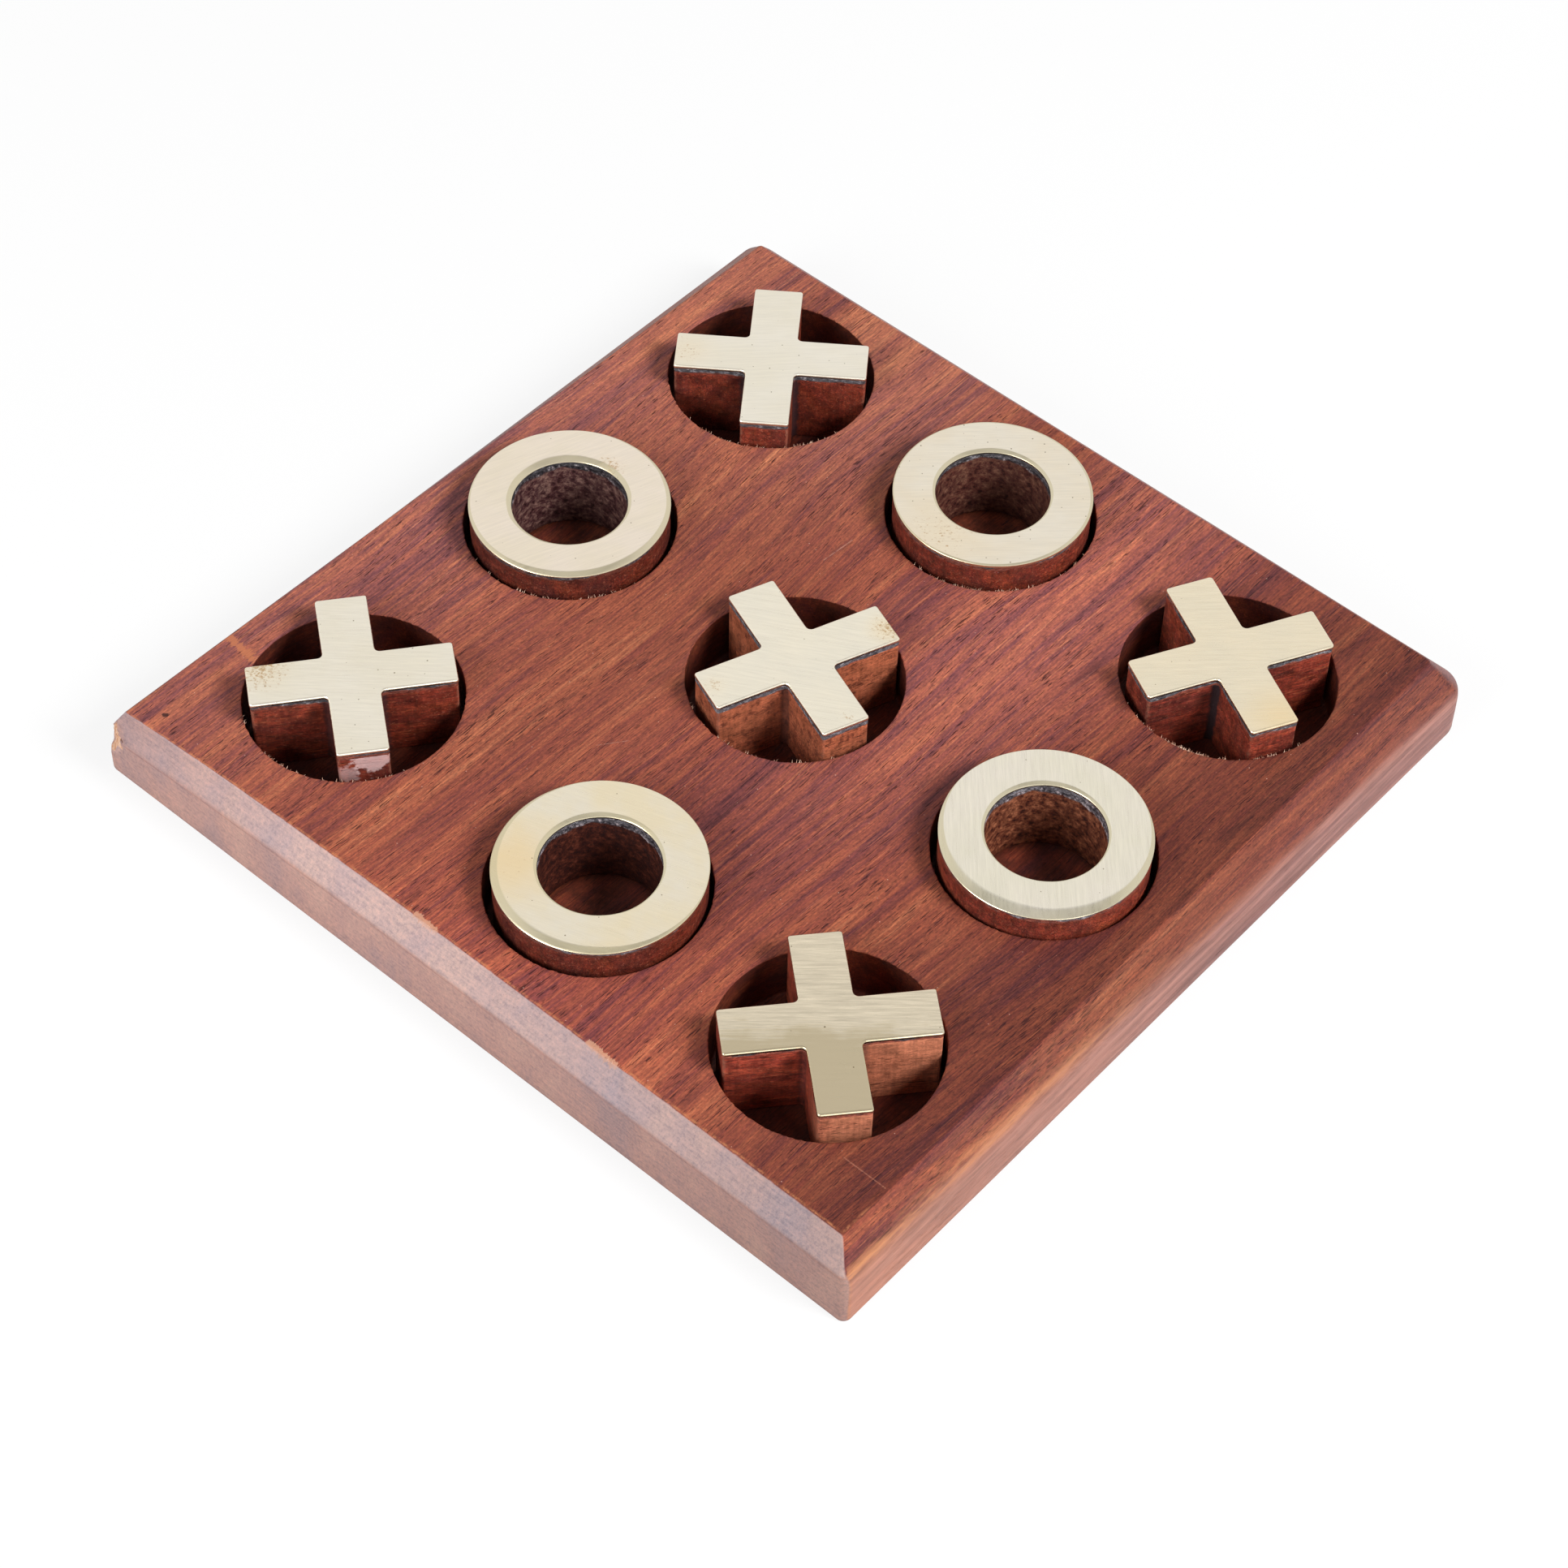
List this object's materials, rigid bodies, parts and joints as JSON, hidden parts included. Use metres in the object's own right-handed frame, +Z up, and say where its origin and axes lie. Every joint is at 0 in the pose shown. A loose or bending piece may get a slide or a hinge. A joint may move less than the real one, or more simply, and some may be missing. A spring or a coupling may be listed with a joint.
{
  "type": "tic-tac-toe board",
  "caption": "Square chamfered hardwood game board with round blind recesses that hold lift-out wooden crosses and rings faced with thin brass plates.",
  "frame": {"origin": "middle of the underside of the board (bottom centre of the bounding box)", "axes": "+Z up through the thickness (shortest extent), +X along the grain of the board, +Y across it"},
  "size_m": [0.15, 0.15, 0.019],
  "materials": {
    "board_wood": "satin varnished reddish-brown hardwood with dark streaks along X, paler on the end-grain sides",
    "piece_wood": "satin varnished red-brown hardwood, darker than the board",
    "adhesive": "dark grey filled resin, slightly glossy and uneven",
    "brass": "pale brass, lightly brushed, with fine scratches, small pits and faint tan stains"
  },
  "bodies": {
    "board": {"board": "board_wood"},
    "cross_front": {"cross_front_body": "piece_wood", "cross_front_bond": "adhesive", "cross_front_plate": "brass"},
    "ring_front_right": {"ring_front_right_body": "piece_wood", "ring_front_right_bond": "adhesive", "ring_front_right_plate": "brass"},
    "cross_right": {"cross_right_body": "piece_wood", "cross_right_bond": "adhesive", "cross_right_plate": "brass"},
    "ring_front_left": {"ring_front_left_body": "piece_wood", "ring_front_left_bond": "adhesive", "ring_front_left_plate": "brass"},
    "cross_centre": {"cross_centre_body": "piece_wood", "cross_centre_bond": "adhesive", "cross_centre_plate": "brass"},
    "ring_back_right": {"ring_back_right_body": "piece_wood", "ring_back_right_bond": "adhesive", "ring_back_right_plate": "brass"},
    "cross_left": {"cross_left_body": "piece_wood", "cross_left_bond": "adhesive", "cross_left_plate": "brass"},
    "ring_back_left": {"ring_back_left_body": "piece_wood", "ring_back_left_bond": "adhesive", "ring_back_left_plate": "brass"},
    "cross_back": {"cross_back_body": "piece_wood", "cross_back_bond": "adhesive", "cross_back_plate": "brass"}
  },
  "joints": [
    {"name": "cross_front_lift", "type": "slide", "parent": "board", "child": "cross_front", "axis": [0, 0, 1], "range_m": [0, 0.025]},
    {"name": "ring_front_right_lift", "type": "slide", "parent": "board", "child": "ring_front_right", "axis": [0, 0, 1], "range_m": [0, 0.025]},
    {"name": "cross_right_lift", "type": "slide", "parent": "board", "child": "cross_right", "axis": [0, 0, 1], "range_m": [0, 0.025]},
    {"name": "ring_front_left_lift", "type": "slide", "parent": "board", "child": "ring_front_left", "axis": [0, 0, 1], "range_m": [0, 0.025]},
    {"name": "cross_centre_lift", "type": "slide", "parent": "board", "child": "cross_centre", "axis": [0, 0, 1], "range_m": [0, 0.025]},
    {"name": "ring_back_right_lift", "type": "slide", "parent": "board", "child": "ring_back_right", "axis": [0, 0, 1], "range_m": [0, 0.025]},
    {"name": "cross_left_lift", "type": "slide", "parent": "board", "child": "cross_left", "axis": [0, 0, 1], "range_m": [0, 0.025]},
    {"name": "ring_back_left_lift", "type": "slide", "parent": "board", "child": "ring_back_left", "axis": [0, 0, 1], "range_m": [0, 0.025]},
    {"name": "cross_back_lift", "type": "slide", "parent": "board", "child": "cross_back", "axis": [0, 0, 1], "range_m": [0, 0.025]}
  ]
}
